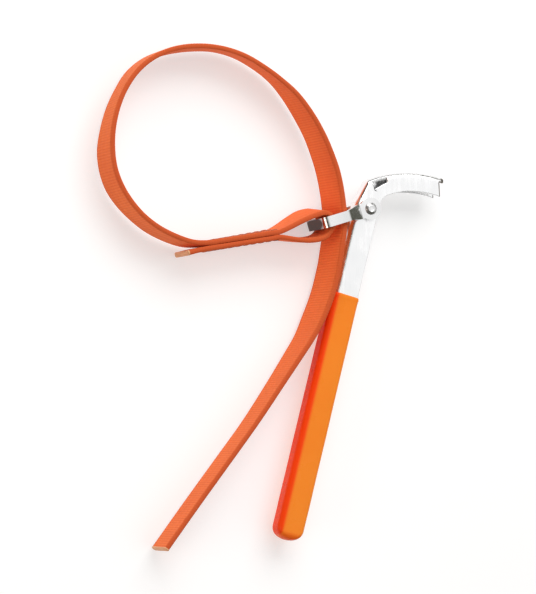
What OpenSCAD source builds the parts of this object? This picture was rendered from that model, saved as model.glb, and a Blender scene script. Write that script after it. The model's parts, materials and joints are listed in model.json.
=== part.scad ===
// Strap-type oil filter wrench, lying on its side. Millimetres, +Z up.
// A pressed channel lever carries a swinging shackle. A webbing strap is sewn round the shackle's
// bridge, makes one large loop for the filter, and passes back through the shackle as a free tail.

/* [Lever] */
// Width of the channel across its two flanges
channel_w = 12; // [11:0.5:14]
// Thickness of the channel's sheet
sheet_t = 2; // [1.5:0.1:2.5]
// Depth of the stem from the web's outer face to the flanges' free edges
stem_depth = 16.4; // [15.5:0.1:17]
// Distance from the pivot to the web's outer face along the stem
web_offset = 9.5; // [9:0.1:10]
// Distance from the pivot to the lower end of the tang
tang_len = 218; // [180:1:218]
// Lean of the lever from the Y axis, in degrees
lean = 14.6; // [14:0.1:15.5]
// Outer radius of the curved nose
nose_r = 88; // [86:0.5:90]
// Depth of the curved nose
nose_depth = 12.8; // [11:0.1:14]

/* [Grip] */
// Distance from the pivot to the top of the grip
grip_top = 59.5; // [55:0.5:80]
// Distance from the pivot to the closed end of the grip
grip_end = 224.5; // [223:0.5:240]
// Wall of the sleeve over the channel
grip_wall = 1.1; // [1:0.05:1.3]
// Corner radius of the sleeve's section
grip_corner = 3; // [2.8:0.1:3.2]

/* [Pivot] */
// Radius of the rivet's shank
rivet_r = 3; // [2.5:0.1:3.2]
// Radius of the rivet's heads
head_r = 4.1; // [3.8:0.1:4.6]
// Height of the rivet's domed heads
head_h = 1.6; // [1.2:0.1:2]

/* [Shackle] */
// Thickness of the shackle's flat bar
bar_t = 2.5; // [2:0.1:2.6]
// Width of the flat bar
bar_w = 7; // [7:0.5:9]
// Clear width between the shackle's arms
inside_w = 26.5; // [26:0.1:28]
// Distance from the pivot to the bridge's outer face
shackle_len = 38; // [37.5:0.1:39]
// Direction of the shackle from the pivot, in degrees from the X axis
shackle_dir = 197.5; // [196:0.5:199]
// Radius of the shackle's round eyes
eye_r = 7.5; // [7:0.1:8]

/* [Strap] */
// Width of the webbing
web_w = 25; // [24:0.5:25.5]
// Thickness of the webbing
web_t = 3.3; // [2.8:0.1:3.3]
// Radius of the strap's run through the shackle
run_r = 138; // [138:1:139]
// Thread diameter of the sewn seam
thread_d = 0.9; // [0.7:0.1:1.2]
// Stitches in each row of the seam
stitches = 9; // [6:1:11]

/* [Hidden] */
$fn = 64;
eps = 0.5;

// Lever outline: u across the lever, v along it, both from the pivot.
web_u = -web_offset;
edge_u = stem_depth - web_offset;
nose_c = [46.7, -52.1];
nose_in_r = nose_r - nose_depth;
corner_a = 126.3;
lip_a = 89.2;
flange_top_a = 91.8;
flange_low_a = 89;
window_a = [117.5, 125];
window_depth = [5.4, 7.6];
taper_v = 2;
throat = [edge_u + 0.3, 10.5];
throat_r = 9;
corner_r = 3;

// Rivet stack, measured from the middle plane: flange, eye, head.
running = 0.05;
bore_r = rivet_r + running;
flange_z = channel_w / 2;
eye_z = flange_z + 0.2;
head_z = eye_z + bar_t + running;
spacer_wall = 1.5;
spacer_half = flange_z - sheet_t - running;

// Shackle route in its own side view: r from the pivot, z from the middle plane.
arm_z = (inside_w + bar_t) / 2;
bridge_r = shackle_len - bar_t / 2;
flat_end = 7.7;
arm_start = 19.8;
flare_w = 10;
bridge_at = bridge_r * [cos(shackle_dir), sin(shackle_dir)];
base_z = inside_w / 2 + bar_t;

// Strap route in plan, all measured from the pivot.
run_c = [-160, -12];
run_top_a = 14;
run_low_a = -34.4;
run_gap_a = 0.05;
sew_a = [-66, -19.6];
sew_b = [-114, -28];
layer_gap = 0.3;
sew_n = let (d = unit(sew_b - sew_a)) [d.y, -d.x] * (web_t + layer_gap) / 2;
flap_route = [[-129.2, -33.3], [-122, -31.4]];
eye_route = [
    [-54, -21.6], [-44, -21.9], [-35, -20], [-28.8, -15.6], [-26.6, -10], [-28.8, -5], [-34.5, -3.1],
    [-43, -5.2], [-52, -9.7], [-60, -14.6]
];
loop_route = [
    [-126, -26.4], [-138, -23.2], [-150, -17.9], [-160.5, -10.6], [-169, -1.6], [-175.5, 8.4],
    [-179.8, 19.6], [-181.4, 32], [-180.8, 45], [-177.7, 58.5], [-172, 71.5], [-163.5, 83], [-152, 92],
    [-138, 97.8], [-122, 100.2], [-106, 99.4], [-91, 95.6], [-77, 88.8], [-65, 81.2], [-54.9, 72.2],
    [-45.4, 60.9], [-37.2, 48.5], [-30.9, 35.3]
];
tail_route = [[-63.5, -114.6], [-82, -140.8], [-102, -166.8], [-123, -193.8], [-144, -221.5]];
spline_steps = 4;
seal_len = 1.2;

function unit(v) = v / norm(v);

function on_circle(c, r, a) = c + r * [cos(a), sin(a)];

// Points of an arc about c, from angle a0 to angle a1.
function arc(c, r, a0, a1, n) = [for (i = [0:n]) on_circle(c, r, a0 + (a1 - a0) * i / n)];

// Round bend of radius r that replaces corner q of the route p, q, s.
function bend(p, q, s, r, n = 6) =
    let (a = unit(p - q), b = unit(s - q), half = acos(a * b) / 2,
         c = q + unit(a + b) * r / sin(half),
         from = q + a * r / tan(half) - c, to = q + b * r / tan(half) - c,
         a0 = atan2(from.y, from.x), turn = sign(cross(from, to)) * (180 - 2 * half))
    arc(c, r, a0, a0 + turn, n);

// One step of a curve that passes through p1 and p2.
function through(p0, p1, p2, p3, t) =
    0.5 * (2 * p1 + (p2 - p0) * t + (2 * p0 - 5 * p1 + 4 * p2 - p3) * t * t
           + (3 * p1 - p0 - 3 * p2 + p3) * t * t * t);

// Smooth curve through every point of a route.
function smooth(route) =
    let (last = len(route) - 1,
         p = concat([2 * route[0] - route[1]], route, [2 * route[last] - route[last - 1]]))
    concat([for (i = [1:last], k = [0:spline_steps - 1])
                through(p[i - 1], p[i], p[i + 1], p[i + 2], k / spline_steps)],
           [route[last]]);

// Unit normal, to the left, at point i of a path.
function normal(path, i) =
    let (d = unit(path[min(i + 1, len(path) - 1)] - path[max(i - 1, 0)])) [-d.y, d.x];

// Outline of a band of thickness t along a path.
function band(path, t) =
    concat([for (i = [0:len(path) - 1]) path[i] + normal(path, i) * t / 2],
           [for (i = [len(path) - 1:-1:0]) path[i] - normal(path, i) * t / 2]);

// Points along the sewn zone, on its upper (side 1) or lower (side -1) layer.
function layer(side, from, to) =
    [for (k = [0:8]) sew_a + (sew_b - sew_a) * (from + (to - from) * k / 8) + side * sew_n];

run_top = arc(run_c, run_r, run_top_a, 0, 12);
run_low = arc(run_c, run_r, -run_gap_a, run_low_a, 12);
loop_path = concat(
    smooth(concat(flap_route, layer(-1, 1, 0), eye_route, layer(1, 0, 1), loop_route,
                  [run_top[0], run_top[1]])),
    [for (i = [2:len(run_top) - 1]) run_top[i]]
);
tail_path = concat(
    [for (i = [0:len(run_low) - 2]) run_low[i]],
    smooth(concat([run_low[len(run_low) - 1]], tail_route))
);
loop_band = band(loop_path, web_t);
tail_band = band(tail_path, web_t);

// Short straight path past the end of a strap, for its seal.
function past(end, before) = [end, end + unit(end - before) * seal_len];

tail_seal_path = past(tail_path[len(tail_path) - 1], tail_path[len(tail_path) - 2]);
fixed_seal_path = past(loop_path[0], loop_path[1]);

// Middle of the whole plan: strap at the left, top and bottom, nose at the right.
lip_tip = nose_c + nose_r * [cos(lip_a), sin(lip_a)];
right_x = lip_tip.x * cos(lean) + lip_tip.y * sin(lean);
left_x = min([for (p = loop_band) p.x]);
top_y = max([for (p = loop_band) p.y]);
bottom_y = min([for (p = band(tail_seal_path, web_t)) p.y]);
plan_c = [(left_x + right_x) / 2, (top_y + bottom_y) / 2];

// Web line of the lever, inset by d from its outer face, from the tang to angle end_a on the nose.
function web_line(d, end_a) =
    let (r = nose_r - d, corner = nose_c + r * [cos(corner_a), sin(corner_a)],
         start = [web_u + d, taper_v], after = nose_c + r * [cos(corner_a - 6), sin(corner_a - 6)])
    concat([[web_u + d, -tang_len], start], bend(start, corner, after, max(corner_r - d, 1)),
           arc(nose_c, r, corner_a - 6, end_a, 16));

// Puts plan geometry drawn about the pivot into the part's own frame.
module placed() {
    translate([-plan_c.x, -plan_c.y, base_z]) children();
}

module slab(points, z0, z1) {
    translate([0, 0, z0]) linear_extrude(z1 - z0) polygon(points);
}

module lever_frame() {
    placed() rotate([0, 0, -lean]) children();
}

module flange_outline() {
    inner_top = nose_c + nose_in_r * [cos(112), sin(112)];
    polygon(concat(
        web_line(0, flange_top_a),
        arc(nose_c, nose_in_r, flange_low_a, 112, 12),
        bend(inner_top, throat, [edge_u, -20], throat_r, 8),
        [[edge_u, -20], [edge_u, -tang_len]]
    ));
}

module lever_channel() {
    far = 80;
    color("gainsboro") lever_frame() difference() {
        translate([0, 0, -flange_z]) linear_extrude(channel_w) union() {
            flange_outline();
            polygon(concat(
                arc(nose_c, nose_r, 110, lip_a, 10),
                arc(nose_c, nose_r - sheet_t, lip_a, 110, 10)
            ));
        }
        slab(concat(
            web_line(sheet_t, lip_a - 2),
            [[far, nose_c.y + nose_r - sheet_t], [far, -tang_len - 1], [web_u + sheet_t, -tang_len - 1]]
        ), sheet_t - flange_z, flange_z - sheet_t);
        slab(concat(
            arc(nose_c, nose_r - sheet_t, window_a[0], window_a[1], 4),
            [for (i = [1, 0]) on_circle(nose_c, nose_r - window_depth[i], window_a[i])]
        ), flange_z - sheet_t - eps, flange_z + eps);
        translate([0, 0, -flange_z - eps]) cylinder(r = bore_r, h = channel_w + 2 * eps);
    }
}

// Side outline with two rounded lower corners, w0 to w1 across and down to v = -grip_end.
function end_outline(w0, w1, r) =
    concat([[w1, -grip_top], [w0, -grip_top]],
           arc([w0 + r, r - grip_end], r, 180, 270, 8),
           arc([w1 - r, r - grip_end], r, 270, 360, 8));

module grip_sleeve() {
    u0 = web_u - grip_wall;
    u1 = edge_u + grip_wall;
    half_z = flange_z + grip_wall;
    section_r = grip_corner;
    color("darkorange") lever_frame() difference() {
        intersection() {
            slab(end_outline(u0, u1, 8), -half_z, half_z);
            rotate([0, 90, 0]) translate([0, 0, u0]) linear_extrude(u1 - u0)
                polygon(end_outline(-half_z, half_z, 5));
            rotate([90, 0, 0]) linear_extrude(grip_end) union() {
                for (u = [u0 + section_r, u1 - section_r], z = [section_r - half_z, half_z - section_r])
                    translate([u, z]) circle(section_r);
                translate([u0 + section_r, -half_z]) square([u1 - u0 - 2 * section_r, 2 * half_z]);
                translate([u0, section_r - half_z]) square([u1 - u0, 2 * (half_z - section_r)]);
            }
        }
        translate([web_u - running, -tang_len - running, -flange_z - running])
            cube([stem_depth + 2 * running, tang_len, channel_w + 2 * running]);
    }
}

module rivet_head() {
    dome_r = (head_r * head_r + head_h * head_h) / (2 * head_h);
    intersection() {
        translate([0, 0, head_z + head_h - dome_r]) sphere(r = dome_r);
        translate([0, 0, head_z]) cylinder(r = head_r + eps, h = head_h + eps);
    }
}

module pivot_rivet() {
    color("silver") placed() union() {
        translate([0, 0, -head_z]) cylinder(r = rivet_r, h = 2 * head_z);
        rivet_head();
        mirror([0, 0, 1]) rivet_head();
    }
}

module spacer_tube() {
    inner_r = rivet_r + 2 * running;
    color("darkgray") placed() difference() {
        translate([0, 0, -spacer_half]) cylinder(r = inner_r + spacer_wall, h = 2 * spacer_half);
        translate([0, 0, -spacer_half - eps]) cylinder(r = inner_r, h = 2 * spacer_half + 2 * eps);
    }
}

module shackle() {
    eye_mid = eye_z + bar_t / 2;
    half_route = [[-eye_r - 1, eye_mid], [flat_end, eye_mid], [arm_start, arm_z], [bridge_r, arm_z],
                  [bridge_r, 0]];
    half_path = concat(
        [half_route[0]],
        bend(half_route[0], half_route[1], half_route[2], 3, 4),
        bend(half_route[1], half_route[2], half_route[3], 3, 4),
        bend(half_route[2], half_route[3], half_route[4], 2 + bar_t / 2, 8)
    );
    last = len(half_path) - 1;
    path = concat(half_path, [for (i = [last:-1:0]) [half_path[i].x, -half_path[i].y]]);
    color("gainsboro") placed() rotate([0, 0, shackle_dir]) difference() {
        intersection() {
            rotate([90, 0, 0]) translate([0, 0, -eye_r - 1]) linear_extrude(2 * eye_r + 2)
                polygon(band(path, bar_t));
            translate([0, 0, -base_z - eps]) linear_extrude(2 * base_z + 2 * eps) union() {
                circle(eye_r);
                polygon([[0, -flare_w / 2], [flat_end, -flare_w / 2], [arm_start, -bar_w / 2],
                         [shackle_len + 1, -bar_w / 2], [shackle_len + 1, bar_w / 2],
                         [arm_start, bar_w / 2], [flat_end, flare_w / 2], [0, flare_w / 2]]);
            }
        }
        translate([0, 0, -base_z]) cylinder(r = bore_r, h = 2 * base_z);
    }
}

module strap_loop() {
    color("orangered") placed() slab(loop_band, -web_w / 2, web_w / 2);
}

module strap_tail() {
    color("orangered") placed() slab(tail_band, -web_w / 2, web_w / 2);
}

module eye_stitching() {
    across = atan2(sew_n.y, sew_n.x);
    reach = 2 * web_t + layer_gap + 0.8;
    color("sienna") placed()
        for (i = [0:stitches - 1], z = [-0.36, 0, 0.36] * web_w)
            translate(concat(sew_a + (sew_b - sew_a) * (i + 0.5) / stitches, [z]))
                rotate([0, 90, across]) translate([0, 0, -reach / 2]) cylinder(d = thread_d, h = reach);
}

module fixed_end_seal() {
    color("tan") placed() slab(band(fixed_seal_path, web_t), -web_w / 2, web_w / 2);
}

module tail_end_seal() {
    color("tan") placed() slab(band(tail_seal_path, web_t), -web_w / 2, web_w / 2);
}

lever_channel();
grip_sleeve();
pivot_rivet();
spacer_tube();
shackle();
strap_loop();
eye_stitching();
fixed_end_seal();
strap_tail();
tail_end_seal();
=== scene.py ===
"""Looks of a strap-type oil filter wrench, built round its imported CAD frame.

Outlines are written in millimetres about the lever's pivot, the way the part is dimensioned, and the
mesh code turns them into metres in the frame's own axes.
"""
import json
import math

import bmesh
import bpy
from mathutils import Matrix, Vector, noise


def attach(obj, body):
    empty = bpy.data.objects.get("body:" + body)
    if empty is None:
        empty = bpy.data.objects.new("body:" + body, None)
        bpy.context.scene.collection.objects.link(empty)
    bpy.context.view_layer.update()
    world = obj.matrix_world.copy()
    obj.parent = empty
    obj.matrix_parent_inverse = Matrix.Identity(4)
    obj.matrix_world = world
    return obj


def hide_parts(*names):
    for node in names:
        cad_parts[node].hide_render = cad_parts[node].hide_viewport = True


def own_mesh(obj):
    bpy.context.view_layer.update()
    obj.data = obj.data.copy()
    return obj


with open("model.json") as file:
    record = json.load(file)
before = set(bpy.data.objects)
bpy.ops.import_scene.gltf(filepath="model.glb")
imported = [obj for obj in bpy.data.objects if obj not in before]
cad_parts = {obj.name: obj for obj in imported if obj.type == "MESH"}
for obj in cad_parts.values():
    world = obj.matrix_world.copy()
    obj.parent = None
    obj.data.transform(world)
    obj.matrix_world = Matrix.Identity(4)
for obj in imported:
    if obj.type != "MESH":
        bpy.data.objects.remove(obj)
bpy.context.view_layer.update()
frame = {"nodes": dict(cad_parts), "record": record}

MM = 0.001
JOINTS = {joint["name"]: joint for joint in frame["record"]["behaviour"]["joints"]}
PIVOT = Vector(JOINTS["shackle_pivot"]["pos_m"])

# Lever, in its own plan axes: u across, v along, both from the pivot.
LEAN = math.radians(14.6)
WEB_U = -9.5
EDGE_U = 6.9
MIDDLE_U = WEB_U + 6.0
STEM_V = (-217.9, -150, -59, -40, -22, -10, -4)
TANG_V = STEM_V[0]
CHANNEL_HALF = 6.0
SHEET = 2.0
BEND_R = 3.6
EDGE_ROUND = 0.5
TAPER_V = 2.0
THROAT = Vector((7.2, 10.5))
THROAT_R = 9.0
CORNER_R = 3.0
CORNER_MIDDLE = (Vector((-1.7, 12.8)), Vector((-0.2, 14.0)))
# The nose is two arcs about one centre, and places along it are angles there, in degrees.
NOSE_C = Vector((46.7, -52.1))
NOSE_R = 88.0
NOSE_IN_R = 75.2
CORNER_A = 126.3
AFTER_CORNER_A = 120.3
THROAT_END_A = 112.0
FLANGE_TOP_A = 91.8
FLANGE_LOW_A = 89.0
LIP_A = 89.2
WINDOW_A = (125.0, 117.5)
WINDOW_DEPTH = (7.6, 5.4)

# Grip.
GRIP_TOP = -59.5
GRIP_END = -224.5
GRIP_WALL = 1.1
GRIP_END_PLAN_R = 8.0
GRIP_END_SIDE_R = 5.0
GRIP_WEB_R = 3.8
GRIP_OPEN_R = 2.8
GRIP_HOLLOW = 0.45
GRIP_HOLLOW_HALF = 4.2
GRIP_WAVE = 0.1
GRIP_LIP_V = -61.3
GRIP_LIP = 0.22
RIM_INSET = 0.35
INSIDE_PLAY = 0.05

# Rivet and shackle.
EYE_Z = 6.2
BAR_T = 2.5
BAR_W = 7.0
INSIDE_W = 26.5
SHACKLE_LEN = 38.0
BRIDGE_R = SHACKLE_LEN - BAR_T / 2
SHACKLE_DIR = math.radians(197.5)
SHACKLE_BEND_R = 4.5
BRIDGE_BEND_R = 3.25
EYE_R = 7.5
FLAT_END = 7.7
ARM_START = 19.8
FLARE_W = 10.0
HEAD_R = 4.1

# Strap. Its near edge is the upper one, its far edge the lower one. A route's points are x, y in plan for
# the near edge, then the lean of the far edge in x and y.
WEB_HALF = 12.5
WEB_T = 3.3
RUN_C = Vector((-160.0, -12.0))
RUN_R = 138.0
RUN_TOP_A = 14.0
RUN_LOW_A = -34.4
SEW_A = Vector((-66.0, -19.6))
SEW_B = Vector((-114.0, -28.0))
LAYER_GAP = 0.1
SEAM_LEAN = 1.6
SEAM_DROP = 0.05
FLAP_ROUTE = [(-129.2, -33.3, 0.0, 0.2), (-122.0, -31.4, 0.0, 0.3)]
EYE_ROUTE = [
    (-54.0, -22.5, 0.0, 2.4), (-44.0, -22.8, 0.0, 2.5), (-35.0, -20.8, 0.0, 2.2),
    (-30.1, -15.9, -0.3, 1.2), (-28.0, -10.3, -0.4, 0.8), (-30.2, -5.6, -0.6, 2.0),
    (-34.8, -4.5, -1.0, 3.6), (-43.2, -7.3, -1.0, 4.5), (-51.5, -11.0, -0.5, 3.6),
    (-59.5, -15.0, 0.0, 2.4),
]
LOOP_ROUTE = [
    (-126.0, -26.4, 0.0, 0.0), (-138.0, -23.2, 0.0, 0.0), (-150.0, -17.9, 0.0, 0.0),
    (-160.5, -10.6, 0.0, 0.0), (-169.0, -1.6, -0.8, -0.3), (-175.5, 8.4, -1.4, -0.5),
    (-179.8, 19.6, -1.3, -0.1), (-181.4, 32.0, -1.1, 0.0), (-180.8, 45.0, 0.2, 0.0),
    (-177.7, 58.5, 0.8, -0.3), (-172.0, 71.5, 0.9, -0.6), (-163.5, 83.0, 0.1, 0.0),
    (-152.0, 92.0, 0.1, 0.4), (-138.0, 97.8, 0.4, 0.2), (-122.0, 100.2, 0.6, 1.0),
    (-106.0, 99.4, 0.9, 2.6), (-91.0, 95.6, 1.4, 3.3), (-77.0, 88.8, 1.8, 3.3),
    (-65.0, 81.2, 1.4, 2.8), (-54.0, 72.6, -0.5, 1.4), (-44.1, 61.2, -1.9, 0.6),
    (-35.9, 48.6, -2.5, 0.1), (-29.4, 35.3, -3.4, 0.0),
]
TAIL_ROUTE = [
    (-63.1, -114.6, -1.0, 0.0), (-82.0, -140.8, 0.0, 0.0), (-102.0, -166.8, 0.0, 0.0),
    (-123.0, -193.8, 0.0, 0.0), (-144.0, -221.5, 0.0, 0.0),
]
# The run through the shackle: shift of its near edge and lean of its far edge, along x, by angle.
RUN_SHIFT = [(-34.4, 0.8), (-24.0, 1.0), (-14.0, 1.0), (-7.0, 0.9), (0.0, 2.1), (14.0, 1.8)]
RUN_LEAN = [(-34.4, -3.0), (-24.0, -5.2), (-14.0, -5.2), (-7.0, -4.7), (0.0, -4.6), (14.0, -4.2)]
SPLINE_STEPS = 8
RIB_PITCH = 1.8
RIB_SAMPLES = 7
RIB_DEPTH = 0.16
YARN_PITCH = 1.4
EDGE_SQUARE = 0.7
SEAL_LEN = 1.2
STITCHES = 9
STITCH_ROWS = (-9.0, 0.0, 9.0)
THREAD_R = 0.38
# One stitch from end to end: place along it in stitch lengths, and height over the webbing's face.
STITCH_ARCH = [(-0.42, -0.75), (-0.38, -0.15), (-0.22, 0.05), (0, 0.1), (0.22, 0.05), (0.38, -0.15),
               (0.42, -0.75)]
# Angles between which the tail runs on inside the loop, and how much slimmer it is there.
HIDDEN_A = (9.5, 0.2)
HIDDEN_SLIM = 0.35
SPLIT_A = -0.05


# ---------------------------------------------------------------- small geometry helpers

def plan(x, y, z=0.0):
    """Point about the pivot, in millimetres, to the frame in metres."""
    return PIVOT + Vector((x, y, z)) * MM


def lever_point(u, v, z):
    """Point in the lever's own axes to the frame."""
    return plan(u * math.cos(LEAN) + v * math.sin(LEAN), v * math.cos(LEAN) - u * math.sin(LEAN), z)


def on_circle(centre, radius, degrees):
    return centre + radius * Vector((math.cos(math.radians(degrees)), math.sin(math.radians(degrees))))


def arc(centre, radius, start, end, steps):
    return [on_circle(centre, radius, start + (end - start) * i / steps) for i in range(steps + 1)]


def mix(a, b, t):
    return a + (b - a) * t


def row(a, b, steps):
    """Evenly spaced points from a up to, but not including, b."""
    return [mix(a, b, i / steps) for i in range(steps)]


def bend(before, corner, after, radius, steps):
    """Round bend that takes the place of a corner."""
    a = (before - corner).normalized()
    b = (after - corner).normalized()
    half = a.angle(b) / 2
    centre = corner + (a + b).normalized() * radius / math.sin(half)
    first = corner + a * radius / math.tan(half) - centre
    last = corner + b * radius / math.tan(half) - centre
    start = math.degrees(math.atan2(first.y, first.x))
    side = math.copysign(1, first.x * last.y - first.y * last.x)
    return arc(centre, radius, start, start + side * (180 - 2 * math.degrees(half)), steps)


def smooth_route(route, steps):
    """Curve through every point of a route, whatever the number of values each point has."""
    points = [Vector(p) for p in route]
    points = [2 * points[0] - points[1], *points, 2 * points[-1] - points[-2]]
    curve = []
    for i in range(1, len(points) - 2):
        p0, p1, p2, p3 = points[i - 1:i + 3]
        for k in range(steps):
            t = k / steps
            curve.append(0.5 * (2 * p1 + (p2 - p0) * t + (2 * p0 - 5 * p1 + 4 * p2 - p3) * t * t
                                + (3 * p1 - p0 - 3 * p2 + p3) * t * t * t))
    return curve + [points[-2]]


def resample(curve, step):
    """The same curve at even spacing, and the distance along it of each new point."""
    spans = [(b.xy - a.xy).length for a, b in zip(curve, curve[1:])]
    total = sum(spans)
    count = max(2, round(total / step))
    made, i, passed = [], 0, 0.0
    for k in range(count + 1):
        want = total * k / count
        while i < len(spans) - 1 and passed + spans[i] < want:
            passed += spans[i]
            i += 1
        made.append(mix(curve[i], curve[i + 1], min(1, (want - passed) / spans[i])))
    return made, [total * k / count for k in range(count + 1)]


def table_value(table, x):
    """Smoothly interpolated value of a short table of (x, value) pairs."""
    for (x0, y0), (x1, y1) in zip(table, table[1:]):
        if x <= x1:
            t = min(1, max(0, (x - x0) / (x1 - x0)))
            return y0 + (y1 - y0) * t * t * (3 - 2 * t)
    return table[-1][1]


# ---------------------------------------------------------------- mesh builders

def mesh_object(name, points, faces, smooth=True):
    mesh = bpy.data.meshes.new(name)
    mesh.from_pydata([tuple(p) for p in points], [], faces)
    mesh.validate()
    for polygon in mesh.polygons:
        polygon.use_smooth = smooth
    obj = bpy.data.objects.new(name, mesh)
    bpy.context.scene.collection.objects.link(obj)
    return obj


def point_values(obj, label, values):
    """Gives every point of a mesh a number that its material reads."""
    layer = obj.data.attributes.new(label, "FLOAT", "POINT")
    layer.data.foreach_set("value", values)


def outward(obj):
    """Drops unused points, joins doubled ones and makes every face look out of its closed solid."""
    solid = bmesh.new()
    solid.from_mesh(obj.data)
    bmesh.ops.delete(solid, geom=[p for p in solid.verts if not p.link_faces], context="VERTS")
    bmesh.ops.remove_doubles(solid, verts=solid.verts, dist=1e-7)
    bmesh.ops.recalc_face_normals(solid, faces=solid.faces)
    solid.to_mesh(obj.data)
    solid.free()
    return obj


def round_edges(obj, width, angle=38):
    """Rounds every sharp edge, as a pressed or tumbled part has them."""
    modifier = obj.modifiers.new("edges", "BEVEL")
    modifier.width = width * MM
    modifier.segments = 3
    modifier.limit_method = "ANGLE"
    modifier.angle_limit = math.radians(angle)
    modifier.harden_normals = True
    bpy.context.view_layer.objects.active = obj
    bpy.ops.object.modifier_apply(modifier=modifier.name)


def loft(rings):
    """Points and faces of a skin through rings of the same number of points, closed at both ends.

    The last two points are the middles of the first and the last ring.
    """
    n = len(rings[0])
    points = [p for ring in rings for p in ring]
    faces = []
    for r in range(len(rings) - 1):
        for i in range(n):
            j = (i + 1) % n
            faces.append((r * n + i, r * n + j, (r + 1) * n + j, (r + 1) * n + i))
    for r in (0, len(rings) - 1):
        points.append(sum(rings[r], Vector()) / n)
        faces += [(r * n + i, r * n + (i + 1) % n, len(points) - 1) for i in range(n)]
    return points, faces


def sheet_solid(name, outer, inner, kept=lambda i, j: True, lip_shade=lambda i, j: 0.0):
    """Solid sheet between two grids of points.

    kept(i, j) says which cells of the grid are metal, and the last argument how much painted shade darkens
    a point.
    """
    rows, columns = len(outer), len(outer[0])
    points = [p for line in outer for p in line] + [p for line in inner for p in line]
    under = rows * columns
    cells = {(i, j) for i in range(rows - 1) for j in range(columns - 1) if kept(i, j)}
    faces = []
    for i, j in sorted(cells):
        a, b = i * columns + j, i * columns + j + 1
        c, d = b + columns, a + columns
        faces += [(a, b, c, d), (a + under, d + under, c + under, b + under)]
        sides = (((i, j - 1), a, d), ((i, j + 1), c, b), ((i - 1, j), b, a), ((i + 1, j), d, c))
        for neighbour, p, q in sides:
            if neighbour not in cells:
                faces.append((p, q, q + under, p + under))
    sheet = mesh_object(name, points, faces)
    point_values(sheet, "lip_shade", [lip_shade(i, j) for i in range(rows) for j in range(columns)] * 2)
    return outward(sheet)


# ---------------------------------------------------------------- materials

class Finish:
    """Node material with short calls for what the finishes below share."""

    def __init__(self, name, **values):
        self.material = bpy.data.materials.new(name)
        self.material.use_nodes = True
        self.nodes = self.material.node_tree.nodes
        self.links = self.material.node_tree.links
        self.shader = self.nodes["Principled BSDF"]
        for socket, value in values.items():
            self.shader.inputs[socket.replace("_", " ")].default_value = value
        self.place = self.nodes.new("ShaderNodeTexCoord").outputs["Object"]

    def link(self, source, target):
        self.links.new(source, target)

    def noise(self, scale, detail=3.0, rough=0.5, stretch=None):
        node = self.nodes.new("ShaderNodeTexNoise")
        node.inputs["Scale"].default_value = scale
        node.inputs["Detail"].default_value = detail
        node.inputs["Roughness"].default_value = rough
        if stretch:
            mapping = self.nodes.new("ShaderNodeMapping")
            mapping.inputs["Rotation"].default_value = (0, 0, LEAN)
            mapping.inputs["Scale"].default_value = stretch
            self.link(self.place, mapping.inputs["Vector"])
            self.link(mapping.outputs["Vector"], node.inputs["Vector"])
        else:
            self.link(self.place, node.inputs["Vector"])
        return node.outputs["Fac"]

    def vector_math(self, operation, source, value=(0, 0, 0)):
        """Result of a vector operation, which is a number for LENGTH."""
        node = self.nodes.new("ShaderNodeVectorMath")
        node.operation = operation
        node.inputs[1].default_value = value
        self.link(source, node.inputs[0])
        return node.outputs["Value" if operation == "LENGTH" else "Vector"]

    def attribute(self, name):
        node = self.nodes.new("ShaderNodeAttribute")
        node.attribute_name = name
        return node.outputs["Fac"]

    def math(self, operation, a, b):
        node = self.nodes.new("ShaderNodeMath")
        node.operation = operation
        for socket, value in zip(node.inputs, (a, b)):
            if isinstance(value, (int, float)):
                socket.default_value = value
            else:
                self.link(value, socket)
        return node.outputs[0]

    def spread(self, source, low, high, from_low=0.3, from_high=0.7):
        """Maps a value's usual range on to low..high."""
        node = self.nodes.new("ShaderNodeMapRange")
        node.inputs["From Min"].default_value = from_low
        node.inputs["From Max"].default_value = from_high
        node.inputs["To Min"].default_value = low
        node.inputs["To Max"].default_value = high
        self.link(source, node.inputs["Value"])
        return node.outputs["Result"]

    def blend(self, factor, a, b):
        node = self.nodes.new("ShaderNodeMix")
        node.data_type = "RGBA"
        self.link(factor, node.inputs["Factor"])
        for socket, value in ((node.inputs["A"], a), (node.inputs["B"], b)):
            if isinstance(value, tuple):
                socket.default_value = (*value, 1)
            else:
                self.link(value, socket)
        return node.outputs["Result"]

    def colour(self, source):
        self.link(source, self.shader.inputs["Base Color"])

    def roughness(self, source):
        self.link(source, self.shader.inputs["Roughness"])

    def bump(self, height, distance, strength):
        """Adds relief to the surface, on top of any that it already has."""
        node = self.nodes.new("ShaderNodeBump")
        node.inputs["Distance"].default_value = distance
        node.inputs["Strength"].default_value = strength
        self.link(height, node.inputs["Height"])
        if self.shader.inputs["Normal"].is_linked:
            self.link(self.shader.inputs["Normal"].links[0].from_socket, node.inputs["Normal"])
        self.link(node.outputs["Normal"], self.shader.inputs["Normal"])


# Painted shade and a painted reflection of the strap, on the shackle's bridge.
BRIDGE_SHADE_COLOUR = (0.06, 0.034, 0.027)
# Painted shade on the lever's nose lip and flange end.
LIP_SHADE_COLOUR = (0.15, 0.13, 0.11)


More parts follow.
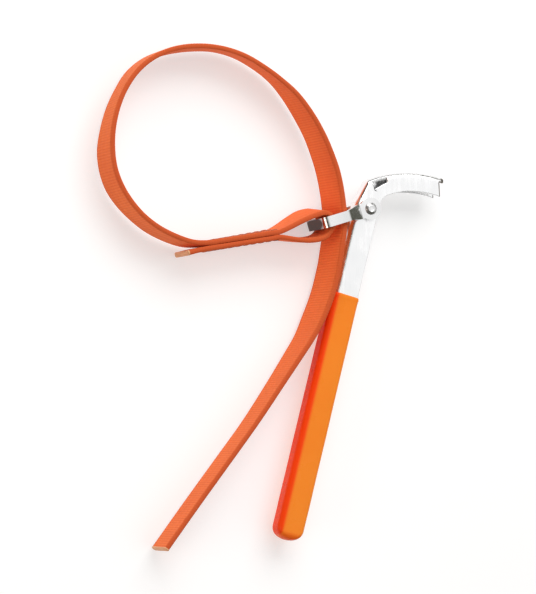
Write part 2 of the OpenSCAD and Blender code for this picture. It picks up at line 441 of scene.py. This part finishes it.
def chrome(name, bright, dull, base_roughness, painted_shade_at=None):
    """Plated steel: cloudy brightness, fine polishing lines and a faint unevenness of the sheet.

    The last argument is the middle of a bar across the object painted dark brown, as painted shade and a
    painted reflection of the strap on the shackle's bridge.
    """
    finish = Finish(name, Metallic=1.0)
    cloud = finish.noise(55, 4)
    lines = finish.noise(420, 3, 0.6, stretch=(1, 0.05, 1))
    plate = finish.blend(finish.spread(cloud, 0, 1), dull, bright)
    # Painted shade and reflection: a dark brown bar round the given point.
    if painted_shade_at is not None:
        away = finish.vector_math("SUBTRACT", finish.place, painted_shade_at)
        reach = finish.vector_math("LENGTH", finish.vector_math("MULTIPLY", away, (1, 1, 0.31)))
        ragged = finish.math("ADD", reach, finish.spread(cloud, -0.8 * MM, 0.8 * MM))
        painted_shade_bar = finish.spread(ragged, 1, 0, 4.2 * MM, 5.6 * MM)
        plate = finish.blend(painted_shade_bar, plate, BRIDGE_SHADE_COLOUR)
    # Painted shade: dark steel colour where the sheet's painted-shade point value is high.
    lip_shade_mask = finish.spread(finish.attribute("lip_shade"), 0, 1, 0.45, 0.65)
    finish.colour(finish.blend(lip_shade_mask, plate, LIP_SHADE_COLOUR))
    grain = finish.math("MULTIPLY", finish.spread(cloud, 0.7, 1.4), finish.spread(lines, 0.7, 1.5))
    finish.roughness(finish.math("MULTIPLY", grain, base_roughness))
    finish.bump(finish.noise(38, 2), 0.00022, 0.35)
    finish.bump(lines, 0.000012, 0.5)
    return finish.material


def vinyl():
    """Dipped vinyl: glossy, with soft orange-peel and dull handled patches, and painted shade that makes it
    redder along the web side and at the rounded end.
    """
    finish = Finish("grip_vinyl", Subsurface_Weight=0.1)
    finish.shader.inputs["Subsurface Radius"].default_value = (0.004, 0.0012, 0.0005)
    finish.shader.inputs["Subsurface Scale"].default_value = 0.5
    finish.shader.inputs["Specular IOR Level"].default_value = 0.1
    tone = finish.noise(24, 3)
    face = finish.blend(finish.spread(tone, 0, 1), (0.95, 0.235, 0.016), (0.98, 0.265, 0.022))
    # Painted shade: the vinyl turns deep red along the web side and at the rounded end.
    finish.colour(finish.blend(finish.attribute("painted_grip_shade"), face, (0.96, 0.065, 0.006)))
    finish.roughness(finish.spread(finish.noise(60, 4), 0.24, 0.4))
    finish.bump(finish.noise(260, 2), 0.00009, 0.35)
    finish.bump(finish.noise(30, 2), 0.0006, 0.25)
    return finish.material


def webbing():
    """Heavy woven webbing: ribs across, yarns along, and painted shade that makes it browner in the grooves
    and along the rounded edges.
    """
    finish = Finish("webbing", Roughness=0.82, Sheen_Weight=0.08, Sheen_Roughness=0.5)
    finish.shader.inputs["Sheen Tint"].default_value = (1.0, 0.55, 0.35, 1)
    finish.shader.inputs["Specular IOR Level"].default_value = 0.3
    rib, edge, yarn = finish.attribute("rib"), finish.attribute("edge"), finish.attribute("yarn")
    fibres = finish.noise(1500, 3, 0.6)
    cloud = finish.noise(45, 4, 0.6)
    # Painted shade: darker orange in the grooves between the ribs.
    face = finish.blend(finish.spread(rib, 0, 1, 0.1, 0.9), (0.82, 0.13, 0.022), (0.95, 0.19, 0.036))
    face = finish.blend(finish.spread(cloud, 0, 0.35), face, (0.78, 0.10, 0.02))
    face = finish.blend(finish.spread(fibres, 0, 0.25), face, (0.95, 0.25, 0.07))
    # Painted shade: darker brown along the rounded edges.
    finish.colour(finish.blend(finish.math("MULTIPLY", edge, 0.8), face, (0.52, 0.07, 0.016)))
    finish.bump(yarn, 0.00025, 0.6)
    finish.bump(fibres, 0.00012, 0.5)
    return finish.material


def thread():
    finish = Finish("thread", Roughness=0.55, Sheen_Weight=0.2)
    finish.colour(finish.blend(finish.spread(finish.noise(900, 2), 0, 1), (0.3, 0.05, 0.015),
                               (0.52, 0.12, 0.03)))
    finish.bump(finish.noise(1800, 2), 0.0001, 0.5)
    return finish.material


def seal():
    """Cut and melted end of the webbing: tan, with orange fibres showing through."""
    finish = Finish("end_seal", Roughness=0.6)
    finish.colour(finish.blend(finish.spread(finish.noise(420, 4, 0.7), 0, 1), (0.75, 0.46, 0.24),
                               (0.80, 0.30, 0.13)))
    finish.bump(finish.noise(700, 3), 0.0003, 0.6)
    return finish.material


def coat(obj, material):
    obj.data.materials.clear()
    obj.data.materials.append(material)


# ---------------------------------------------------------------- lever

def lever_stations():
    """Stations from the tang to the nose's lip, each with a point on the web, one below it and one on the
    free edge, then the first and last station of the window and the station where the flanges end.
    """
    before = Vector((WEB_U, TAPER_V))
    corner = on_circle(NOSE_C, NOSE_R, CORNER_A)
    after = on_circle(NOSE_C, NOSE_R, AFTER_CORNER_A)
    turn = bend(before, corner, after, CORNER_R, 5)
    inner_top = on_circle(NOSE_C, NOSE_IN_R, THROAT_END_A)
    throat = bend(Vector((EDGE_U, -20)), THROAT, inner_top, THROAT_R, 10)

    stations = [tuple(Vector((u, v)) for u in (WEB_U, MIDDLE_U, EDGE_U)) for v in STEM_V]
    climb = row(before, turn[0], 6)
    for i, web in enumerate(climb):
        middle = mix(Vector((MIDDLE_U, 1.0)), CORNER_MIDDLE[0], i / 6)
        stations.append((web, middle, mix(Vector((EDGE_U, 0)), throat[0], i / 6)))
    for i, web in enumerate(turn):
        stations.append((web, mix(*CORNER_MIDDLE, i / 5), throat[i]))
    for i in range(5):
        a = mix(*WINDOW_A, i / 4)
        sill = on_circle(NOSE_C, NOSE_R - mix(*WINDOW_DEPTH, i / 4), a)
        stations.append((on_circle(NOSE_C, NOSE_R, a), sill, throat[6 + i]))
    first_nose = len(stations)
    for i in range(1, 19):
        t = i / 18
        web_a = mix(WINDOW_A[1], FLANGE_TOP_A, t)
        low_a = mix(THROAT_END_A, FLANGE_LOW_A, t)
        free = on_circle(NOSE_C, NOSE_IN_R, low_a)
        if i == 1:
            free = mix(throat[-1], on_circle(NOSE_C, NOSE_IN_R, THROAT_END_A), 0.6)
        web = on_circle(NOSE_C, NOSE_R, web_a)
        stations.append((web, mix(web, free, WINDOW_DEPTH[1] / (NOSE_R - NOSE_IN_R)), free))
    flange_end = len(stations) - 1
    lip = on_circle(NOSE_C, NOSE_R, LIP_A)
    stations.append((lip, on_circle(NOSE_C, NOSE_R - WINDOW_DEPTH[1], LIP_A), stations[-1][2]))
    return stations, (first_nose - 5, first_nose - 1), flange_end


def channel_section(web, middle, free, thick):
    """Points across the channel at one station, from one free edge over the web to the other."""
    down = (middle - web).normalized()
    radius = BEND_R - thick
    half = CHANNEL_HALF - thick
    side = [free, mix(middle, free, 0.66), mix(middle, free, 0.33), middle,
            web + down * (BEND_R + (middle - web).length) / 2]
    flank = [(p, half) for p in side]
    for i in range(7):
        a = math.pi / 2 * i / 6
        flank.append((web + down * (thick + radius * (1 - math.sin(a))), half - radius * (1 - math.cos(a))))
    across = [*flank, (web + down * thick, 0.0), *[(p, -z) for p, z in reversed(flank)]]
    return [lever_point(p.x, p.y, z) for p, z in across]


def make_lever():
    """The pressed channel. Its near flange has a small window, and its nose a lip without flanges."""
    stations, window, flange_end = lever_stations()
    outer = [channel_section(*station, 0.0) for station in stations]
    inner = [channel_section(*station, SHEET) for station in stations]
    last = len(outer[0]) - 2
    window_cells = (3, 4, 5, 6)
    first_bend_cell = 5

    def kept(i, j):
        if window[0] <= i < window[1] and j in window_cells:
            return False
        return i < flange_end or min(j, last - j) >= first_bend_cell

    # Painted shade: the nose's lip and the flange's end are painted dark steel.
    def lip_shade(i, j):
        if i > flange_end:
            return 1.0
        if i == flange_end:
            return 0.2 if min(j, last + 1 - j) > first_bend_cell else 1.0
        return 0.0

    lever = sheet_solid("lever", outer, inner, kept, lip_shade)
    round_edges(lever, EDGE_ROUND)
    return lever


# ---------------------------------------------------------------- grip

def rounded_ring(u0, u1, half_z, web_r, open_r, hollow, v):
    """One ring of the grip's section: u, z and v. hollow dips the open side between the flanges."""
    web_r = min(web_r, (u1 - u0) / 2, half_z)
    open_r = min(open_r, (u1 - u0) / 2, half_z)
    corners = [(u1 - open_r, half_z - open_r, open_r, 0), (u0 + web_r, half_z - web_r, web_r, 90),
               (u0 + web_r, web_r - half_z, web_r, 180), (u1 - open_r, open_r - half_z, open_r, 270)]
    ring = []
    for k, (u, z, r, start) in enumerate(corners):
        ring += arc(Vector((u, z)), r, start, start + 90, 8)
        next_u, next_z, next_r, next_start = corners[(k + 1) % 4]
        ring += row(ring[-1], on_circle(Vector((next_u, next_z)), next_r, next_start), 10)[1:]
    made = []
    for p in ring:
        dip = hollow * max(0.0, 1 - (p.y / GRIP_HOLLOW_HALF) ** 2) if p.x > u1 - 0.5 else 0.0
        made.append((p.x - dip, p.y, v))
    return made


def end_cut(radius, rise):
    """How far the grip's rounded end draws in, at a height over its tip."""
    return radius - math.sqrt(max(0, radius ** 2 - max(0, radius - rise) ** 2))


def grip_painted_shade(u, v):
    """Painted shade in the vinyl's colour at a point: full along the web side, partly at the rounded end.
    """
    along_web = min(1.0, max(0.0, (WEB_U - GRIP_WALL + 4.4 - u) / 1.8))
    at_end = min(1.0, max(0.0, (GRIP_END + 6 - v) / 5))
    return max(along_web, 0.7 * at_end)


def make_grip():
    """Dipped sleeve: a wavy outside that closes in a rounded end, a rim, and an inside round the tang."""
    u0, u1 = WEB_U - GRIP_WALL, EDGE_U + GRIP_WALL
    half = CHANNEL_HALF + GRIP_WALL
    body_top, body_end = -64.0, GRIP_END + GRIP_END_PLAN_R
    levels = [GRIP_TOP - RIM_INSET, -60.4, -61.2, -62.5, body_top]
    levels += [mix(body_top, body_end, i / 30) for i in range(1, 31)]
    levels += [GRIP_END + GRIP_END_PLAN_R * (1 - math.sin(math.radians(a))) for a in range(6, 91, 6)]
    outside = []
    for v in levels:
        rise = v - GRIP_END
        lip = GRIP_LIP * math.exp(-((v - GRIP_LIP_V) / 0.9) ** 2)
        cut_u = end_cut(GRIP_END_PLAN_R, rise) - lip
        cut_z = end_cut(GRIP_END_SIDE_R, rise) - lip
        hollow = GRIP_HOLLOW * min(1, max(0, rise - 12) / 20)
        ring = rounded_ring(u0 + cut_u, u1 - cut_u, half - cut_z, GRIP_WEB_R, GRIP_OPEN_R, hollow, v)
        wavy = []
        for u, z, level in ring:
            shake = noise.noise(Vector((u * 0.12, z * 0.12, level * 0.05))) * GRIP_WAVE
            wavy.append((u + shake * (1 if u > -1.3 else -1) * min(1, rise / 20), z, level))
        outside.append(wavy)
    play = INSIDE_PLAY
    inside = [rounded_ring(WEB_U - play, EDGE_U + play, CHANNEL_HALF + play, BEND_R - play, 0.6, 0.0, v)
              for v in (GRIP_TOP, GRIP_TOP - 0.6, -100, -160, TANG_V + 2, TANG_V - 0.1)]
    rim = rounded_ring(u0 + RIM_INSET, u1 - RIM_INSET, half - RIM_INSET, 3.5, 2.5, 0.0, GRIP_TOP)
    skins = [*reversed(inside), rim, *outside]
    points, faces = loft([[lever_point(u, v, z) for u, z, v in ring] for ring in skins])
    grip = mesh_object("grip", points, faces)
    # Painted shade values for the vinyl: red along the web side and at the rounded end.
    point_values(grip, "painted_grip_shade", [grip_painted_shade(u, v) for ring in skins for u, _, v in ring] + [0.5, 0.5])
    return outward(grip)


# ---------------------------------------------------------------- rivet

def make_rivet():
    """Rivet with a shallow dish in the top of each cone-sided head, turned round the pivot."""
    dish = [(0.0, 1.3), (0.7, 1.31), (1.3, 1.35), (1.75, 1.44), (2.0, 1.52), (2.2, 1.54), (2.4, 1.48)]
    cone = [(2.65, 1.3), (2.95, 1.05), (3.3, 0.8), (3.65, 0.58), (3.92, 0.36), (4.06, 0.18)]
    foot = [(HEAD_R, 0.05), (HEAD_R - 0.05, 0.0), (3.0, 0.0)]
    base = EYE_Z + BAR_T + 0.05
    profile = [(r, base + z) for r, z in dish + cone + foot]
    profile += [(r, -z) for r, z in reversed(profile)]
    turns = [2 * math.pi * i / 72 for i in range(72)]
    rings = [[plan(r * math.cos(a), r * math.sin(a), z) for a in turns] for r, z in profile[1:-1]]
    points, faces = loft(rings)
    points[-2:] = plan(0, 0, profile[0][1]), plan(0, 0, profile[-1][1])
    return outward(mesh_object("rivet", points, faces))


# ---------------------------------------------------------------- shackle

def shackle_point(r, across, z):
    """Point at distance r along the shackle from the pivot and across to one side, to the frame."""
    along = Vector((math.cos(SHACKLE_DIR), math.sin(SHACKLE_DIR)))
    at = r * along + across * Vector((-along.y, along.x))
    return plan(at.x, at.y, z)


def shackle_half_width(r):
    """Half of the flat bar's width at distance r from the pivot."""
    eye = math.sqrt(max(0.0, EYE_R ** 2 - r * r)) if r < EYE_R else 0.0
    if r < 0:
        return eye
    widths = [(0, FLARE_W), (FLAT_END, FLARE_W), (ARM_START, BAR_W), (SHACKLE_LEN, BAR_W)]
    return max(eye, table_value(widths, r) / 2)


def make_shackle():
    """Flat bar from one eye out along an arm, over the bridge and back along the other arm."""
    eye_mid = EYE_Z + BAR_T / 2
    arm_z = (INSIDE_W + BAR_T) / 2
    tip, flat_end = Vector((-EYE_R, eye_mid)), Vector((FLAT_END, eye_mid))
    arm_start, arm_end = Vector((ARM_START, arm_z)), Vector((BRIDGE_R, arm_z))
    bridge = Vector((BRIDGE_R, 0))
    out_bend = bend(tip, flat_end, arm_start, SHACKLE_BEND_R, 6)
    back_bend = bend(flat_end, arm_start, arm_end, SHACKLE_BEND_R, 6)
    bridge_bend = bend(arm_start, arm_end, bridge, BRIDGE_BEND_R, 10)
    half = [Vector((-EYE_R * math.cos(math.radians(a)), eye_mid)) for a in (2, 8, 16, 26, 38, 52, 70, 90)]
    half += [Vector((EYE_R * f, eye_mid)) for f in (0.25, 0.45, 0.6, 0.7, 0.745)]
    half += out_bend + row(out_bend[-1], back_bend[0], 4)[1:]
    half += back_bend + row(back_bend[-1], bridge_bend[0], 4)[1:]
    half += bridge_bend + row(bridge_bend[-1], bridge, 4)[1:]
    route = half + [bridge] + [Vector((p.x, -p.y)) for p in reversed(half)]
    steps = (-1, -0.92, -0.7, -0.35, 0, 0.35, 0.7, 0.92, 1)

    def skin(offset):
        rows = []
        for i, p in enumerate(route):
            ahead, behind = route[min(i + 1, len(route) - 1)], route[max(i - 1, 0)]
            tangent = (ahead - behind).normalized()
            at = p + Vector((-tangent.y, tangent.x)) * offset
            width = shackle_half_width(p.x)
            rows.append([shackle_point(at.x, width * s, at.y) for s in steps])
        return rows

    shackle = sheet_solid("shackle_bar", skin(BAR_T / 2), skin(-BAR_T / 2))
    round_edges(shackle, EDGE_ROUND, angle=42)
    return shackle


# ---------------------------------------------------------------- strap

SEW_UNIT = (SEW_B - SEW_A).normalized()
SEW_N = Vector((SEW_UNIT.y, -SEW_UNIT.x)) * (WEB_T + LAYER_GAP) / 2


def seam_lean(side, t):
    """Drop of a layer's near edge and lean of its far edge, at t along the seam from the eye.

    The lower layer (side -1) drops a little at its near edge and leans back to the upper one.
    """
    drop = SEAM_DROP if side < 0 else 0.0
    return drop, SEAM_LEAN * (1 - t) + 4 * drop


def seam_layer(side, start, end):
    """Points along the sewn zone on its upper (side 1) or lower (side -1) layer."""
    made = []
    for k in range(9):
        t = mix(start, end, k / 8)
        p = mix(SEW_A, SEW_B, t) + side * SEW_N
        drop, lean = seam_lean(side, t)
        made.append((p.x, p.y - drop, 0.0, lean))
    return made


def run(start, end, steps):
    """Points of the strap's run through the shackle, with its lean, from angle start to end."""
    made = []
    for i in range(steps + 1):
        a = mix(start, end, i / steps)
        p = on_circle(RUN_C, RUN_R, a)
        made.append(Vector((p.x + table_value(RUN_SHIFT, a), p.y, table_value(RUN_LEAN, a), 0.0)))
    return made


def loop_curve():
    """The loop's line, from its sewn-down end to the middle of the run."""
    top = run(RUN_TOP_A, -RUN_TOP_A / 2, 3)
    route = [*FLAP_ROUTE, *seam_layer(-1, 1, 0), *EYE_ROUTE, *seam_layer(1, 0, 1), *LOOP_ROUTE, *top]
    return smooth_route(route, SPLINE_STEPS)[:-SPLINE_STEPS]


def tail_curve():
    """The tail's line, from the split in the shackle to its free end."""
    low = run(SPLIT_A, RUN_LOW_A, 24)
    return low[:-1] + smooth_route([low[-1], *TAIL_ROUTE], SPLINE_STEPS)


def far_share(across):
    """Share of the far edge's lean at a place across the webbing: none at the near edge."""
    return (WEB_HALF - across) / (2 * WEB_HALF)


def section_points():
    """Section of the webbing: offset from its middle, place across, depth of ribs, nearness of an edge,
    which also sets painted shade on the rounded edges.
    """
    edge_r = WEB_T / 2
    flat = WEB_HALF - edge_r
    outer_places = (0.21, 0.42, 0.64, 0.84, 0.88, 0.92, 0.96, 1)
    places = [*(-place for place in reversed(outer_places)), 0, *outer_places]
    made = []
    for side in (1, -1):
        for place in places:
            across = place * flat * side
            edge = 0.3 if abs(place) > 0.98 else 0.1 if abs(place) > 0.94 else 0.0
            made.append((side * edge_r, across, 1.0 if abs(place) < 0.9 else 0.6, edge))
        for a in (30, 60, 90, 120, 150):
            sine = math.sin(math.radians(a))
            cosine = 0.0 if a == 90 else math.cos(math.radians(a))
            offset = edge_r * math.copysign(abs(cosine) ** EDGE_SQUARE, cosine)
            across = flat + edge_r * 0.92 * sine ** EDGE_SQUARE
            made.append((side * offset, side * across, 0.3, 0.4 + 0.6 * sine))
    return made


def rib_height(distance):
    return abs(math.sin(math.pi * distance / RIB_PITCH)) ** 0.7


def strap_rings(curve, slim):
    """Rings of the webbing along a curve, and the rib, edge and yarn values of every point."""
    stations, distances = resample(curve, RIB_PITCH / RIB_SAMPLES)
    section = section_points()
    rings, ribs, edges, yarns = [], [], [], []
    for i, (station, distance) in enumerate(zip(stations, distances)):
        ahead = stations[min(i + 1, len(stations) - 1)]
        behind = stations[max(i - 1, 0)]
        tangent = (ahead.xy - behind.xy).normalized()
        normal = Vector((-tangent.y, tangent.x))
        height = rib_height(distance)
        wander = noise.noise(Vector((distance * 0.03, 0.0, 3.7))) * 0.036
        ring = []
        for offset, across, ribbed, edge in section:
            sink = RIB_DEPTH * ribbed * (1 - height)
            reach = offset - math.copysign(sink, offset) if abs(offset) > 0.05 else offset
            reach *= 1 - slim / WEB_T
            tip = across * (1 - slim / WEB_HALF) - math.copysign(sink * 0.6, across) * edge
            at = station.xy + normal * (reach + wander) + Vector(station[2:4]) * far_share(across)
            ring.append(plan(at.x, at.y, tip))
            ribs.append(height)
            edges.append(edge)
            yarns.append(0.5 + 0.5 * math.sin(across * 2 * math.pi / YARN_PITCH))
        rings.append(ring)
    return rings, ribs, edges, yarns


def make_strap(name, parts):
    """One strap from parts that follow each other, each a curve and how much slimmer it is."""
    lists = [], [], [], []
    for curve, slim in parts:
        for whole, part in zip(lists, strap_rings(curve, slim)):
            whole += part
    rings, ribs, edges, yarns = lists
    points, faces = loft(rings)
    strap = mesh_object(name, points, faces)
    for label, values in (("rib", ribs), ("edge", edges), ("yarn", yarns)):
        point_values(strap, label, values + [0.5, 0.5])
    return outward(strap)


def make_seal(name, end, before, lean):
    """Cut end of the webbing: a short, slightly swollen and uneven block past the end of a strap."""
    ahead = (end - before).normalized()
    normal = Vector((-ahead.y, ahead.x))
    profile = [(0.0, 0.02), (0.12, -0.05), (0.5, -0.07), (0.85, 0.0), (1.06, 0.12), (1.16, 0.35)]
    rings = []
    for reach, shrink in profile:
        uneven = 0.6 if reach > 0.4 else 0.0
        ring = []
        for offset, across, _, _ in section_points():
            shake = noise.noise(Vector((offset * 0.9, across * 0.55, reach * 2.0 + end.x))) * 0.12
            side = offset * (1 - shrink) + math.copysign(shake, offset) * 0.5
            past = min(SEAL_LEN, reach + shake * uneven)
            at = end + ahead * past + normal * side + lean * far_share(across)
            ring.append(plan(at.x, at.y, across * (1 - shrink * 0.12)))
        rings.append(ring)
    points, faces = loft(rings)
    return outward(mesh_object(name, points, faces))


def tube(points, radius):
    """Rings of a round thread along a few points, thinner at its ends."""
    turns = [2 * math.pi * k / 7 for k in range(7)]
    rings = []
    for i, p in enumerate(points):
        tangent = (points[min(i + 1, len(points) - 1)] - points[max(i - 1, 0)]).normalized()
        side = tangent.cross(Vector((0, 0, 1))).normalized()
        up = side.cross(tangent)
        r = radius * (0.75 if i in (0, len(points) - 1) else 1.0)
        rings.append([p + r * (side * math.cos(a) + up * math.sin(a)) for a in turns])
    return rings


def stitch_line(side, across, k):
    """Points of stitch number k of a row, on the upper (side 1) or lower (side -1) face of the seam."""
    middle = (k + 0.5) / STITCHES
    drop, lean = seam_lean(side, middle)
    shift = Vector((0, lean * far_share(across) - drop))
    line = []
    for along, rise in STITCH_ARCH:
        height = side * (WEB_T + LAYER_GAP / 2 + rise)
        at = mix(SEW_A, SEW_B, middle + along / STITCHES) + SEW_N.normalized() * height + shift
        line.append(plan(at.x, at.y, across))
    return line


def make_stitches():
    """Lockstitch rows on both outer faces of the doubled strap."""
    all_points, all_faces = [], []
    for side in (1, -1):
        for across in STITCH_ROWS:
            for k in range(STITCHES):
                points, faces = loft(tube(stitch_line(side, across, k), THREAD_R * MM))
                base = len(all_points)
                all_points += points
                all_faces += [tuple(i + base for i in face) for face in faces]
    return outward(mesh_object("seam_stitches", all_points, all_faces))


def make_tail(tail_line):
    """The free tail, with a slimmer stretch that waits inside the loop's run for when it is pulled."""
    hidden = run(*HIDDEN_A, 12)
    return make_strap("strap_tail_webbing", [(hidden, HIDDEN_SLIM), (tail_line, 0.0)])


# ---------------------------------------------------------------- the assembly

lever = make_lever()
grip = make_grip()
rivet = make_rivet()
shackle = make_shackle()
loop_line = loop_curve()
tail_line = tail_curve()
loop = make_strap("strap_loop_webbing", [(loop_line, 0.0)])
tail = make_tail(tail_line)
stitches = make_stitches()
fixed_seal = make_seal("fixed_end_cut", loop_line[0].xy, loop_line[1].xy, Vector(loop_line[0][2:4]))
tail_seal = make_seal("tail_end_cut", tail_line[-1].xy, tail_line[-2].xy, Vector(tail_line[-1][2:4]))

chrome_plate = chrome("chrome_plate", (0.93, 0.93, 0.93), (0.86, 0.865, 0.87), 0.2)
# The shackle's bridge gets painted shade and a painted reflection of the strap.
shackle_chrome = chrome("shackle_chrome", (0.86, 0.86, 0.86), (0.74, 0.74, 0.74), 0.13,
                        painted_shade_at=shackle_point(BRIDGE_R, 0.0, -2.8))
rivet_steel = chrome("rivet_steel", (0.8, 0.8, 0.8), (0.66, 0.66, 0.67), 0.2)
grip_vinyl = vinyl()
web_cloth = webbing()
sewing_thread = thread()
cut_end = seal()

PIECES = [
    (lever, "lever", "lever_channel", "chrome_plate", chrome_plate),
    (grip, "lever", "grip_sleeve", "grip_vinyl", grip_vinyl),
    (rivet, "lever", "pivot_rivet", "rivet_steel", rivet_steel),
    (shackle, "shackle", "shackle", "shackle_chrome", shackle_chrome),
    (loop, "strap_loop", "strap_loop", "webbing", web_cloth),
    (tail, "strap_tail", "strap_tail", "webbing", web_cloth),
    (stitches, "strap_loop", "eye_stitching", "thread", sewing_thread),
    (fixed_seal, "strap_loop", "fixed_end_seal", "end_seal", cut_end),
    (tail_seal, "strap_tail", "tail_end_seal", "end_seal", cut_end),
]
for piece, body, node, slot_name, material in PIECES:
    coat(piece, material)
    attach(piece, body)
    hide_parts(node)
coat(frame["nodes"]["spacer_tube"], rivet_steel)

# The loop, its stitches and its sealed end each get a mesh of their own.
for piece in (loop, stitches, fixed_seal):
    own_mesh(piece)


# ---------------------------------------------------------------- studio

def area_light(name, place, target, size, power, colour=(1, 1, 1)):
    data = bpy.data.lights.new(name, "AREA")
    data.shape = "RECTANGLE"
    data.size, data.size_y = size
    data.energy = power
    data.color = colour
    light = bpy.data.objects.new(name, data)
    light.location = place
    light.rotation_mode = "QUATERNION"
    light.rotation_quaternion = (Vector(target) - Vector(place)).to_track_quat("-Z", "Y")
    bpy.context.scene.collection.objects.link(light)


def make_floor():
    """White floor that glows a little, as a lit table does, so that shadows on it stay faint."""
    finish = Finish("studio_floor", Roughness=0.9, Emission_Strength=0.5)
    cloud = finish.spread(finish.noise(3), 0, 1)
    finish.colour(finish.blend(cloud, (0.55, 0.55, 0.55), (0.58, 0.58, 0.58)))
    corners = [(-3, -3, 0), (3, -3, 0), (3, 3, 0), (-3, 3, 0)]
    floor = mesh_object("studio_floor", corners, [(0, 1, 2, 3)], smooth=False)
    coat(floor, finish.material)


def make_world():
    """Soft white room, brightest above and to the right, and dark towards the lower left."""
    world = bpy.data.worlds.new("studio")
    bpy.context.scene.world = world
    world.use_nodes = True
    nodes, links = world.node_tree.nodes, world.node_tree.links
    place = nodes.new("ShaderNodeTexCoord")
    towards = nodes.new("ShaderNodeVectorMath")
    towards.operation = "DOT_PRODUCT"
    towards.inputs[1].default_value = Vector((0.42, 0.12, 0.9)).normalized()
    ramp = nodes.new("ShaderNodeValToRGB")
    stops = ramp.color_ramp.elements
    stops[0].position, stops[0].color = 0.0, (0.05, 0.05, 0.055, 1)
    stops[1].position, stops[1].color = 1.0, (1.0, 1.0, 1.0, 1)
    middle_stops = ((0.4, 0.06, 0.8), (0.58, 0.14, 0.8), (0.74, 0.6, 0.97), (0.9, 0.95, 1.0))
    for position, level, blue in middle_stops:
        stops.new(position).color = (level, level, level * blue, 1)
    links.new(place.outputs["Generated"], towards.inputs[0])
    links.new(towards.outputs["Value"], ramp.inputs["Fac"])
    links.new(ramp.outputs["Color"], nodes["Background"].inputs["Color"])
    nodes["Background"].inputs["Strength"].default_value = 1.0


def make_camera():
    """Camera at the photograph's angle, square to it, with the object's length up the frame."""
    back = Vector((-0.39, -0.065, 0.92)).normalized()
    up = (Vector((0, 1, 0)) - back * back.y).normalized()
    right = up.cross(back)
    data = bpy.data.cameras.new("camera")
    data.sensor_width = 36.0
    data.lens = 167.8
    data.clip_start, data.clip_end = 0.05, 20.0
    camera = bpy.data.objects.new("camera", data)
    target = Vector((-6.11, 1.18, 15.75)) * MM
    distance = 1.8
    turn = Matrix((right, up, back)).transposed().to_4x4()
    camera.matrix_world = Matrix.Translation(target + back * distance) @ turn
    bpy.context.scene.collection.objects.link(camera)
    bpy.context.scene.camera = camera


make_camera()
make_floor()
make_world()
area_light("key", (0.1, 1.2, 1.2), (0, 0, 0), (1.6, 1.2), 21)
area_light("fill_left", (-1.4, -0.3, 0.6), (0, 0, 0), (1.0, 0.5), 6, (1.0, 0.8, 0.7))
bpy.context.scene.view_settings.view_transform = "Standard"
